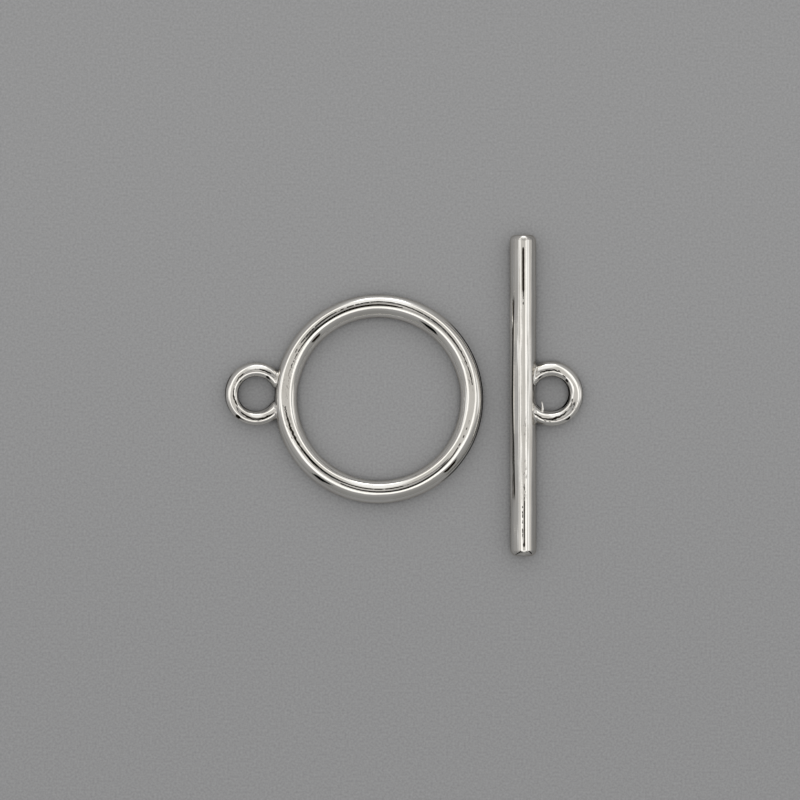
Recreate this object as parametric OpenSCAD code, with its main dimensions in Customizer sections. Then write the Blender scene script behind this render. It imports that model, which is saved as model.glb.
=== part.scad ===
// Toggle clasp: a round-wire ring and a round bar, each cast in one piece with a small eye.
// The two pieces lie side by side on the plane z = 0, the ring to the left and the bar along Y.

/* [Ring] */
// Outer diameter of the ring
ring_od = 16; // [12:0.5:22]
// Thickness of the ring's round wire
ring_wire = 1.73; // [1.3:0.01:2.6]

/* [Ring's eye] */
// Diameter of the hole in the ring's eye
ring_eye_hole = 2.72; // [1.8:0.02:4]
// Thickness of the eye's round wire
ring_eye_wire = 1.02; // [0.8:0.02:1.2]
// Distance from the round of the hole to the ring's outer side
ring_eye_neck = 0.06; // [0.04:0.01:0.2]
// Half angle of the eye's mouth, where the ring itself closes the hole
ring_eye_mouth = 24; // [15:1:25]

/* [Bar] */
// Length of the bar
bar_length = 24.6; // [18:0.1:40]
// Thickness of the bar
bar_dia = 2; // [1.6:0.05:3]
// Radius of the rounding at the bar's ends
bar_end_round = 0.46; // [0.2:0.02:0.7]

/* [Bar's eye] */
// Diameter of the hole in the bar's eye
bar_eye_hole = 2.72; // [1.8:0.02:4]
// Thickness of the eye's round wire
bar_eye_wire = 1.1; // [0.8:0.05:1.4]
// How far the round of the hole reaches into the bar's side
bar_eye_sink = 0.2; // [0.05:0.01:0.3]
// Distance from the bar's middle to the eye, along the bar
bar_eye_shift = 0.14; // [0:0.02:3]

/* [Eye holes] */
// Length of the straight, drilled stretch in each eye's hole
eye_land = 0.25; // [0.1:0.05:0.4]

/* [Lay] */
// Clear distance between the ring and the bar
piece_gap = 2.06; // [0.5:0.01:10]
// Distance by which the ring's centre lies behind the bar's middle, towards -Y
ring_drop = 0.27; // [0:0.01:3]
// Angle by which the ring's eye lies turned towards +Y
ring_turn = 2.4; // [0:0.1:30]

/* [Hidden] */
$fn = 96;
silver = [0.83, 0.82, 0.8];

// Radius of an eye's wire line: drilling the hole leaves a straight stretch as long as the land.
function eye_line_r(hole, wire) = hole / 2 + sqrt(pow(wire / 2, 2) - pow(eye_land / 2, 2));

ring_r = ring_od / 2;
ring_line_r = ring_r - ring_wire / 2;
ring_eye_line_r = eye_line_r(ring_eye_hole, ring_eye_wire);
ring_eye_dist = ring_r + ring_eye_neck + ring_eye_hole / 2;

bar_r = bar_dia / 2;
bar_eye_line_r = eye_line_r(bar_eye_hole, bar_eye_wire);
bar_eye_dist = bar_r - bar_eye_sink + bar_eye_hole / 2;
bar_eye_reach = bar_eye_dist + bar_eye_line_r;
// The bar lies rolled about its own line until its eye touches the surface too.
bar_roll = asin((bar_r - bar_eye_wire / 2) / bar_eye_reach);

// From left to right: the ring's eye, the ring, the gap, the bar and its eye.
left_of_ring = ring_eye_dist * cos(ring_turn) + ring_eye_line_r + ring_eye_wire / 2;
right_of_bar = bar_eye_reach * cos(bar_roll) + bar_eye_wire / 2;
lay_width = left_of_ring + ring_r + piece_gap + bar_r + right_of_bar;
ring_x = left_of_ring - lay_width / 2;
bar_x = lay_width / 2 - right_of_bar;

// A round wire bent along a circle about Z, left open by a mouth towards +X.
module wire_loop(line_r, wire, mouth = 0) {
    rotate([0, 0, mouth])
        rotate_extrude(angle = 360 - 2 * mouth)
            translate([line_r, 0])
                circle(d = wire);
}

// An eye about Z with its hole drilled to size.
module eye(hole, wire, mouth = 0) {
    difference() {
        wire_loop(eye_line_r(hole, wire), wire, mouth);
        cylinder(d = hole, h = 2 * wire, center = true);
    }
}

// A round bar along Z with both ends rounded. Its half outline stays on the +X side of its axis.
module round_ended_bar(length, r, round_r) {
    rotate_extrude()
        intersection() {
            square([r, length]);
            union() {
                square([r - round_r, length]);
                translate([0, round_r])
                    square([r, length - 2 * round_r]);
                for (y = [round_r, length - round_r])
                    translate([r - round_r, y])
                        circle(r = round_r);
            }
        }
}

// The ring with its eye, about the ring's own centre, the eye towards -X.
module ring_casting() {
    wire_loop(ring_line_r, ring_wire);
    translate([-ring_eye_dist, 0, 0])
        eye(ring_eye_hole, ring_eye_wire, ring_eye_mouth);
}

// The bar with its eye, about the bar's own middle, the bar along Y and the eye towards +X.
module bar_casting() {
    translate([0, bar_length / 2, 0])
        rotate([90, 0, 0])
            round_ended_bar(bar_length, bar_r, bar_end_round);
    translate([bar_eye_dist, bar_eye_shift, 0])
        eye(bar_eye_hole, bar_eye_wire);
}

module toggle_ring() {
    color(silver)
        translate([ring_x, -ring_drop, ring_wire / 2])
            rotate([0, 0, -ring_turn])
                ring_casting();
}

module toggle_bar() {
    color(silver)
        translate([bar_x, 0, bar_r])
            rotate([0, bar_roll, 0])
                bar_casting();
}

toggle_ring();
toggle_bar();
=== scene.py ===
import logging
import math
from abc import ABC, abstractmethod
from dataclasses import dataclass, field
from enum import Enum
from typing import Callable, ClassVar

import bmesh
import bpy
import numpy as np
from mathutils import Matrix, Vector


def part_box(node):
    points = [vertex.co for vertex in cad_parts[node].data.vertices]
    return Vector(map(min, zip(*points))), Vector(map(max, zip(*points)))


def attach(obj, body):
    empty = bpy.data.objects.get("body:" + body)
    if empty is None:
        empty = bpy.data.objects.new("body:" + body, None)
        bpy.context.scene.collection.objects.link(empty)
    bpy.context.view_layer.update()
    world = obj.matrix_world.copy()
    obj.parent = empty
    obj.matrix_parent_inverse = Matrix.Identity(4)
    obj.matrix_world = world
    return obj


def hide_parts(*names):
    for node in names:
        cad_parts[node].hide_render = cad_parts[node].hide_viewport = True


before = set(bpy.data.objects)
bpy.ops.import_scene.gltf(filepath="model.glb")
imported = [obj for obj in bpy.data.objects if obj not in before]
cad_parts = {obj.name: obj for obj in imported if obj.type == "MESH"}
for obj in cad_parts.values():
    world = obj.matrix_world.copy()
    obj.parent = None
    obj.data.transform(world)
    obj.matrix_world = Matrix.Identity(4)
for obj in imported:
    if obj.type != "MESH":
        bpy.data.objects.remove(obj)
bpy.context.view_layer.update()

LOG = logging.getLogger("toggle_clasp")
MM = 0.001
# Keeps a division from meeting a zero
TINY = 1e-9
# Vertices nearer to each other than this, in millimetres, become one
WELD = 1e-4
# The middle of a noise pattern's values
MID_NOISE = 0.5
BODY = "root"

# Attributes of the castings' vertices, which the plate's material reads
DRAWN = "drawn"
ROUGH = "rough"
# How dark each vertex is painted, as painted shade
PAINTED_SHADE = "pits_and_painted_shade"
# Offsets from, and strength of, the painted dark reflection lines
REFLECTION_OFFSET = "reflection_offset"
REFLECTION_STRENGTH = "reflection_strength"

# How slowly the plate's patterns change along a wire, against how they change across it
STRETCH = 0.12
# How often a squared or peaked section repeats itself round the wire
CORNERS = 4.0

Pair = tuple[float, float]
Triple = tuple[float, float, float]
Colour = tuple[float, float, float]
# Places, and the value at each of them
Table = tuple[tuple[float, ...], tuple[float, ...]]
Socket = bpy.types.NodeSocket


class Side(Enum):
    """Where an eye's joint lies, seen from the eye's own centre: +1 towards +X, -1 towards -X."""

    RIGHT = 1.0
    LEFT = -1.0


# Shapes as distance fields, in millimetres


def smooth_union(first: np.ndarray, second: np.ndarray, fillet: float) -> np.ndarray:
    """Joins two bodies, given by the distances from them, with a fillet of some reach between them."""
    share = np.clip(0.5 + 0.5 * (second - first) / fillet, 0.0, 1.0)
    return second + (first - second) * share - fillet * share * (1.0 - share)


def section(
    out: np.ndarray, up: np.ndarray, radius: float, lean: np.ndarray, square: np.ndarray | float
) -> np.ndarray:
    """Measures the distance from a wire's nearly round section.

    Args:
        out: How far the points lie out from the wire's line.
        up: How far they lie above it.
        radius: The wire's radius.
        lean: How far the crest leans out.
        square: How much the section is squared off, or peaked where it is negative.

    Returns:
        The distance of each point from the section's edge.
    """
    turn = np.arctan2(up, out)
    swell = lean * np.sin(2.0 * turn) + square * (1.0 - np.cos(CORNERS * turn))
    return np.hypot(out, up) - radius * (1.0 + swell)


def slopes(skin: Callable[[np.ndarray], np.ndarray], points: np.ndarray) -> np.ndarray:
    """Finds how a distance field rises at some points.

    Args:
        skin: The distance field.
        points: Places in the field, one to a row.

    Returns:
        The slope along X, Y and Z at each point.
    """
    step = 1e-3
    rises = []
    for axis in range(3):
        offset = np.zeros(3)
        offset[axis] = step
        rises.append((skin(points + offset) - skin(points - offset)) / (2.0 * step))
    return np.stack(rises, axis=1)


@dataclass(frozen=True)
class Ripple:
    """The slight unevenness of a cast and polished skin, as a sum of long waves."""

    height: float
    length: float
    seed: int
    waves: int = 24
    spread: Pair = (0.6, 1.6)

    def at(self, points: np.ndarray) -> np.ndarray:
        """Works out how far the skin stands proud.

        Args:
            points: Places on the skin, one to a row.

        Returns:
            The height of the skin at each point.
        """
        rng = np.random.default_rng(self.seed)
        ways = rng.normal(size=(self.waves, 3))
        ways /= np.linalg.norm(ways, axis=1, keepdims=True)
        lengths = self.length * rng.uniform(*self.spread, self.waves)
        starts = rng.uniform(0.0, 2.0 * math.pi, self.waves)
        turns = points @ (ways * (2.0 * math.pi / lengths[:, None])).T + starts
        return self.height * math.sqrt(2.0 / self.waves) * np.sin(turns).sum(axis=1)


@dataclass(frozen=True)
class Streaks:
    """Faint lines drawn along a round bar, which sway a little from side to side."""

    height: float
    count: float
    sway: float
    sway_rate: float
    sway_start: float
    start: float

    def at(self, turn: np.ndarray, along: np.ndarray) -> np.ndarray:
        """Works out how far the lines stand proud at some angles, in radians, and places along the bar."""
        swayed = self.sway * np.sin(self.sway_rate * along + self.sway_start)
        return self.height * np.sin(self.count * turn + swayed + self.start)


@dataclass(frozen=True)
class RoughSpot:
    """A spot where the casting's skin is pitted."""

    place: Pair
    reach: float
    depth: float
    fade: float = 1.5

    def at(self, points: np.ndarray) -> np.ndarray:
        """Works out how deep the pits are at some points of the skin, from 0 to 1."""
        away = np.hypot(points[:, 0] - self.place[0], points[:, 1] - self.place[1])
        return self.depth * np.clip(self.fade - self.fade * away / self.reach, 0.0, 1.0)


@dataclass(frozen=True)
class ReflectionLine:
    """A painted reflection: a dark, broken line along a crest.

    Each knot gives a place along the line, how far out the line lies there, its strength and its jaggedness.
    """

    knots: tuple[tuple[float, float, float, float], ...]

    @classmethod
    def dots(cls, *spots: tuple[float, float, float, float, float], fade: float = 3.0) -> "ReflectionLine":
        """Makes a line that shows only as separate spots.

        Args:
            *spots: The start and end of each, how far out it lies at both, and its strength.
            fade: The length over which each end fades.

        Returns:
            The line.
        """
        knots = []
        for start, end, first_out, last_out, strength in spots:
            knots += [(start - fade, first_out, 0.0, 0.0), (start, first_out, strength, 0.0)]
            knots += [(end, last_out, strength, 0.0), (end + fade, last_out, 0.0, 0.0)]
        return cls(tuple(knots))

    def at(self, along: np.ndarray) -> tuple[np.ndarray, np.ndarray, np.ndarray]:
        """Works out how the line runs.

        Args:
            along: Places along the line.

        Returns:
            How far out the line lies at each place, its strength and its jaggedness.
        """
        places, outs, strengths, jags = zip(*self.knots)
        return (
            np.interp(along, places, outs),
            np.interp(along, places, strengths),
            np.interp(along, places, jags),
        )


def reflection_marks(
    out: np.ndarray, places: np.ndarray, lines: tuple[ReflectionLine, ReflectionLine]
) -> tuple[np.ndarray, np.ndarray]:
    """Finds how points lie to two painted reflection lines.

    Args:
        out: How far out each point lies.
        places: Its place along the lines.
        lines: The two lines.

    Returns:
        Both offsets, and both strengths with the jaggedness, one row to a point.
    """
    first, second = (line.at(places) for line in lines)
    offsets = np.stack([out - first[0], out - second[0], np.zeros(len(out))], axis=1)
    return offsets, np.stack([first[1], second[1], np.maximum(first[2], second[2])], axis=1)


@dataclass(frozen=True)
class Lip:
    """A thin flange of flash, standing round a wire where it meets another."""

    place: Triple
    facing: float
    thick: float = 0.11
    across: float = 0.85
    tall: float = 1.25
    fine_reach: Pair = (2.2, 0.6)

    def skin(self, points: np.ndarray) -> np.ndarray:
        """Measures the distance from the flange.

        Args:
            points: Places in the casting, one to a row.

        Returns:
            The distance of each point from the flange's skin.
        """
        moved = points - np.array(self.place)
        turn = math.radians(self.facing)
        along = moved[:, 0] * math.cos(turn) + moved[:, 1] * math.sin(turn)
        aside = moved[:, 1] * math.cos(turn) - moved[:, 0] * math.sin(turn)
        local = np.stack([along, aside, moved[:, 2]], axis=1)
        radii = np.array([self.thick, self.across, self.tall]) / 2.0
        near = np.linalg.norm(local / radii, axis=1)
        far = np.linalg.norm(local / radii**2, axis=1) + TINY
        return near * (near - 1.0) / far

    def covers(self, point: Vector) -> bool:
        """Tells whether a point lies so close to the flange that it needs a fine mesh.

        Args:
            point: A place in the casting.

        Returns:
            True close to the flange.
        """
        moved = Matrix.Rotation(math.radians(-self.facing), 4, "Z") @ (point - Vector(self.place))
        along, aside = self.fine_reach
        return abs(moved.x) < along * self.thick and abs(moved.y) < aside * self.across


@dataclass(frozen=True)
class Eye:
    """A small round eye of round wire, open where it runs into its casting."""

    hole: float
    wire: float
    centre: Pair
    joint: Side
    mouth: float
    first_loop: float
    sides: int
    lean_west: float
    lean_north: float = 0.16
    square: float = 0.032
    steps: int = 112

    @property
    def line(self) -> float:
        """Radius of the circle along which the wire is bent."""
        return (self.hole + self.wire) / 2.0

    def skin(self, points: np.ndarray) -> np.ndarray:
        """Measures the distance from the eye's wire.

        Args:
            points: Places in the casting, one to a row.

        Returns:
            The distance of each point from the wire's skin.
        """
        across = (points[:, 0] - self.centre[0]) * self.joint.value
        aside = points[:, 1] - self.centre[1]
        along = np.abs(aside)
        half = math.radians(self.mouth)
        end = (self.line * math.cos(half), self.line * math.sin(half))
        away = np.hypot(across, along)
        west = (self.centre[0] - points[:, 0]) / np.maximum(away, TINY)
        lean = -self.lean_north * aside / np.maximum(away, TINY) - self.lean_west * west
        bent = section(away - self.line, points[:, 2], self.wire / 2.0, lean, self.square)
        past = np.sqrt((across - end[0]) ** 2 + (along - end[1]) ** 2 + points[:, 2] ** 2) - self.wire / 2.0
        return np.where(np.arctan2(along, across) >= half, bent, past)

    def drawn(self, points: np.ndarray) -> np.ndarray:
        """Gives places that change slowly along the wire and fast across it.

        Args:
            points: Places in the casting, one to a row.

        Returns:
            A place for each point, for patterns that run along the wire.
        """
        across = points[:, 0] - self.centre[0]
        along = points[:, 1] - self.centre[1]
        return np.stack([np.hypot(across, along), points[:, 2], STRETCH * (across + along)], axis=1)

    def round(self, points: np.ndarray) -> tuple[np.ndarray, np.ndarray]:
        """Finds where points lie round the eye.

        Args:
            points: Places in the casting, one to a row.

        Returns:
            How far out of the wire's line each point lies, and its angle in degrees from +X, from 0 to 360.
        """
        across = points[:, 0] - self.centre[0]
        along = points[:, 1] - self.centre[1]
        return np.hypot(across, along) - self.line, np.degrees(np.arctan2(along, across)) % 360.0

    def spot(self, angle: float, reach: float, depth: float) -> RoughSpot:
        """Makes a pitted spot on the wire.

        Args:
            angle: Its angle round the eye, in degrees from +X.
            reach: How far the pits reach.
            depth: How deep they are, from 0 to 1.

        Returns:
            The spot.
        """
        turn = math.radians(angle)
        place = (self.centre[0] + self.line * math.cos(turn), self.centre[1] + self.line * math.sin(turn))
        return RoughSpot(place, reach, depth)

    def add_to(self, bm: bmesh.types.BMesh) -> list[list[bmesh.types.BMEdge]]:
        """Spins the wire, open at both ends.

        Args:
            bm: The mesh that gets the wire.

        Returns:
            The edges of its two end loops, the one on the +Y side first.
        """
        made = bmesh.ops.create_circle(bm, segments=self.sides, radius=self.wire / 2.0)
        loop = made["verts"]
        start = math.radians(self.first_loop)
        lay = (
            Matrix.Translation((*self.centre, 0.0))
            @ Matrix.Rotation(0.0 if self.joint is Side.RIGHT else math.pi, 4, "Z")
            @ Matrix.Rotation(start, 4, "Z")
            @ Matrix.Translation((self.line, 0.0, 0.0))
            @ Matrix.Rotation(math.pi / 2.0, 4, "X")
        )
        bmesh.ops.transform(bm, matrix=lay, verts=loop)
        edges = list({edge for vert in loop for edge in vert.link_edges})
        spun = bmesh.ops.spin(
            bm,
            geom=loop + edges,
            cent=(*self.centre, 0.0),
            axis=(0.0, 0.0, 1.0),
            angle=2.0 * math.pi - 2.0 * start,
            steps=self.steps,
        )
        last = [part for part in spun["geom_last"] if isinstance(part, bmesh.types.BMEdge)]
        ends = [edges, last]
        ends.sort(key=lambda end: -end[0].verts[0].co.y)
        return ends


# Node trees


class Graph:
    """Adds nodes to one tree and joins them up."""

    def __init__(self, tree: bpy.types.NodeTree) -> None:
        """Empties the tree of a material or of the world."""
        self.tree = tree
        tree.nodes.clear()

    def add(self, kind: str, **settings: object) -> bpy.types.Node:
        """Adds a node.

        Args:
            kind: Its type's name.
            **settings: Values for its properties.

        Returns:
            The new node.
        """
        node = self.tree.nodes.new(kind)
        for name, value in settings.items():
            setattr(node, name, value)
        return node

    def feed(self, socket: Socket, value: object) -> None:
        """Joins or sets an input.

        Args:
            socket: The input.
            value: An output to join, or a plain value.
        """
        if isinstance(value, Socket):
            self.tree.links.new(value, socket)
        else:
            socket.default_value = value

    def math(self, operation: str, *values: object) -> Socket:
        """Adds a Math node.

        Args:
            operation: What it does.
            *values: Its inputs.

        Returns:
            Its result.
        """
        node = self.add("ShaderNodeMath", operation=operation)
        for socket, value in zip(node.inputs, values):
            self.feed(socket, value)
        return node.outputs[0]

    def ramp(
        self, value: object, start: float, end: float, low: float = 0.0, high: float = 1.0
    ) -> Socket:
        """Turns a value into a soft step.

        Args:
            value: The value.
            start: Where the step starts.
            end: Where it ends.
            low: The result before the start.
            high: The result past the end.

        Returns:
            The stepped value.
        """
        node = self.add("ShaderNodeMapRange", interpolation_type="SMOOTHSTEP")
        for index, given in enumerate((value, start, end, low, high)):
            self.feed(node.inputs[index], given)
        return node.outputs[0]

    def mix(self, share: object, first: object, second: object) -> Socket:
        """Mixes two colours.

        Args:
            share: How much of the second colour shows.
            first: The first colour.
            second: The second colour.

        Returns:
            The mixed colour.
        """
        node = self.add("ShaderNodeMix", data_type="RGBA")
        for name, given in (("Factor_Float", share), ("A_Color", first), ("B_Color", second)):
            if isinstance(given, tuple):
                given = (*given, 1.0)
            self.feed(next(socket for socket in node.inputs if socket.identifier == name), given)
        return next(socket for socket in node.outputs if socket.identifier == "Result_Color")

    def noise(self, where: Socket, size: float, detail: float = 2.0) -> Socket:
        """Adds a noise pattern.

        Args:
            where: The coordinates, in metres.
            size: Size of its blotches, in metres.
            detail: How much finer noise lies over it.

        Returns:
            The pattern's value.
        """
        node = self.add("ShaderNodeTexNoise")
        self.feed(node.inputs["Vector"], where)
        self.feed(node.inputs["Scale"], 1.0 / size)
        self.feed(node.inputs["Detail"], detail)
        return node.outputs["Fac"]

    def split(self, vector: Socket) -> bpy.types.bpy_prop_collection:
        """Splits a vector into its parts.

        Args:
            vector: The vector.

        Returns:
            The outputs X, Y and Z.
        """
        node = self.add("ShaderNodeSeparateXYZ")
        self.feed(node.inputs[0], vector)
        return node.outputs

    def attribute(self, name: str, output: str) -> Socket:
        """Reads one output of an attribute of the vertices."""
        return self.add("ShaderNodeAttribute", attribute_name=name).outputs[output]


class Coating(Graph):
    """The nodes of a new surface material, with its shader and the object's own coordinates in place."""

    def __init__(self, name: str) -> None:
        """Starts the material.

        Args:
            name: Its name.
        """
        self.material = bpy.data.materials.new(name)
        self.material.use_nodes = True
        super().__init__(self.material.node_tree)
        self.where = self.add("ShaderNodeTexCoord").outputs["Object"]
        self.shader = self.add("ShaderNodeBsdfPrincipled")
        output = self.add("ShaderNodeOutputMaterial")
        self.feed(output.inputs["Surface"], self.shader.outputs["BSDF"])

    def relief(self, layers: tuple[tuple[Socket, float], ...]) -> Socket | None:
        """Lays layers of fine relief one over the other.

        Args:
            layers: The height pattern of each layer, and its depth in metres.

        Returns:
            The normal of the surface under all layers.
        """
        surface = None
        for pattern, depth in layers:
            bump = self.add("ShaderNodeBump")
            self.feed(bump.inputs["Strength"], 1.0)
            self.feed(bump.inputs["Distance"], depth)
            self.feed(bump.inputs["Height"], pattern)
            if surface is not None:
                self.feed(bump.inputs["Normal"], surface)
            surface = bump.outputs["Normal"]
        return surface


# Finishes


@dataclass(frozen=True)
class SilverPlate:
    """Bright silver plate over cast metal: a slightly warm mirror with waves, haze, pits, painted shade and
    painted dark reflection lines.
    """

    bright: Colour = (0.93, 0.915, 0.885)
    dull_tone_and_flank_shade: Colour = (0.88, 0.86, 0.825)
    rim: Colour = (0.6, 0.56, 0.5)
    # Dark colour of the pits, of the painted shade and of the painted reflection lines
    pits_and_painted_shade: Colour = (0.022, 0.017, 0.01)
    blotch_size: float = 2.4 * MM
    blotch_range: Pair = (0.35, 0.7)
    gloss: float = 0.02
    haze: float = 0.05
    cloud_size: float = 0.8 * MM
    cloud_detail: float = 4.0
    cloud_range: Pair = (0.4, 0.75)
    streak_size: float = 0.3
    streak_depth: float = 0.005 * MM
    hairline_size: float = 0.11
    hairline_depth: float = 0.0014 * MM
    grain_size: float = 0.16 * MM
    grain_depth: float = 0.0012 * MM
    pit_size: float = 0.12
    pit_depth: float = 0.004 * MM
    pit_stretch: float = 3.5
    speck_range: Pair = (0.56, 0.62)
    # Width, breaks and jaggedness of the painted dark reflection lines
    reflection_width: Pair = (0.08, 0.038)
    reflection_thinnest: float = 0.7
    reflection_jag: float = 0.3
    reflection_grain: float = 0.22 * MM
    reflection_breaks: float = 0.3 * MM
    reflection_kept: Pair = (0.4, 0.55)

    def make(self) -> bpy.types.Material:
        """Builds the material.

        Returns:
            The finished material.
        """
        graph = Coating("silver_plate_bright")
        where, shader = graph.where, graph.shader
        shader.inputs["Metallic"].default_value = 1.0

        blotches = graph.ramp(graph.noise(where, self.blotch_size), *self.blotch_range)
        plated = graph.mix(blotches, self.bright, self.dull_tone_and_flank_shade)
        cloudy = graph.ramp(graph.noise(where, self.cloud_size, self.cloud_detail), *self.cloud_range)
        graph.feed(shader.inputs["Roughness"], graph.ramp(cloudy, 0.0, 1.0, self.gloss, self.haze))

        drawn = graph.attribute(DRAWN, "Vector")
        rough = graph.attribute(ROUGH, "Fac")
        pitted = graph.add("ShaderNodeMapping")
        graph.feed(pitted.inputs["Vector"], drawn)
        pitted.inputs["Scale"].default_value = (1.0, 1.0, self.pit_stretch)
        pits = graph.noise(pitted.outputs["Vector"], self.pit_size)
        specks = graph.math("MULTIPLY", graph.ramp(pits, *self.speck_range), rough)
        # The plate darkens by its pits, by the painted shade and by the painted dark reflection lines, and
        # its edge tint darkens with them
        dark = graph.math("MAXIMUM", specks, graph.attribute(PAINTED_SHADE, "Fac"))
        for line in self.reflection_lines(graph, where):
            dark = graph.math("MAXIMUM", dark, line)
        graph.feed(shader.inputs["Base Color"], graph.mix(dark, plated, self.pits_and_painted_shade))
        graph.feed(shader.inputs["Specular Tint"], graph.mix(dark, self.rim, self.pits_and_painted_shade))

        layers = (
            (graph.noise(drawn, self.streak_size, detail=1.0), self.streak_depth),
            (graph.noise(drawn, self.hairline_size, detail=1.0), self.hairline_depth),
            (graph.noise(where, self.grain_size, detail=1.0), self.grain_depth),
            (graph.math("MULTIPLY", pits, rough), self.pit_depth),
        )
        graph.feed(shader.inputs["Normal"], graph.relief(layers))
        return graph.material

    def reflection_lines(self, graph: Graph, where: Socket) -> list[Socket]:
        """Draws the painted dark reflection lines along the crests.

        Args:
            graph: The material's nodes.
            where: The object's own coordinates.

        Returns:
            The darkness of each line.
        """
        offsets = graph.split(graph.attribute(REFLECTION_OFFSET, "Vector"))
        reflection_strength = graph.split(graph.attribute(REFLECTION_STRENGTH, "Vector"))
        shake = graph.math("SUBTRACT", graph.noise(where, self.reflection_grain), MID_NOISE)
        jag = graph.math("MULTIPLY", graph.math("MULTIPLY", shake, self.reflection_jag), reflection_strength[2])
        breaks = graph.math("SUBTRACT", graph.noise(where, self.reflection_breaks), MID_NOISE)
        lines = []
        for offset, strength in zip(offsets[:2], reflection_strength[:2]):
            off = graph.math("ABSOLUTE", graph.math("ADD", offset, jag))
            off = graph.math("DIVIDE", off, graph.math("MAXIMUM", strength, self.reflection_thinnest))
            kept = graph.ramp(graph.math("ADD", strength, breaks), *self.reflection_kept)
            lines.append(graph.math("MULTIPLY", graph.ramp(off, *self.reflection_width), kept))
        return lines


@dataclass(frozen=True)
class PaleBoard:
    """The matt grey board that the clasp lies on, with painted shade, nearly black, in the narrow gaps under
    the wires, and painted darker towards -Y.
    """

    shade: Colour = (0.382, 0.382, 0.385)
    near: Colour = (0.344, 0.344, 0.348)
    grain: float = 0.17 * MM
    grain_depth: float = 0.17
    fall: float = 30.0 * MM
    # Colour of the painted shade in the gaps under the wires
    gap_shade: Colour = (0.02, 0.02, 0.02)
    gap_reach: float = 0.9 * MM
    gap_samples: int = 4
    gap_open: Pair = (0.15, 0.55)
    roughness: float = 0.34
    specular: float = 0.3

    def make(self) -> bpy.types.Material:
        """Builds the material.

        Returns:
            The finished material.
        """
        graph = Coating("pale_board")
        # Painted falloff of the light: the board is darker towards -Y
        painted_falloff = graph.ramp(graph.split(graph.where)[1], self.fall, -self.fall)
        speckle = graph.math("SUBTRACT", graph.noise(graph.where, self.grain, detail=1.0), MID_NOISE)
        # Painted shade: the board goes nearly black where ambient occlusion finds little open sky
        around = graph.add("ShaderNodeAmbientOcclusion", samples=self.gap_samples)
        graph.feed(around.inputs["Distance"], self.gap_reach)
        openness = graph.ramp(around.outputs["AO"], *self.gap_open)
        grainy = graph.add("ShaderNodeBrightContrast")
        graph.feed(grainy.inputs["Color"], graph.mix(painted_falloff, self.shade, self.near))
        graph.feed(grainy.inputs["Bright"], graph.math("MULTIPLY", speckle, self.grain_depth))
        colour = graph.mix(openness, self.gap_shade, grainy.outputs["Color"])
        graph.feed(graph.shader.inputs["Base Color"], colour)
        graph.shader.inputs["Roughness"].default_value = self.roughness
        graph.shader.inputs["Specular IOR Level"].default_value = self.specular
        return graph.material


# The two castings


def note(mesh: bpy.types.Mesh, name: str, values: np.ndarray) -> None:
    """Stores an attribute of a mesh: one number, or one row of three, for each vertex."""
    kind, part = ("FLOAT", "value") if values.ndim == 1 else ("FLOAT_VECTOR", "vector")
    mesh.attributes.new(name, kind, "POINT").data.foreach_set(part, values.ravel())


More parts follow.
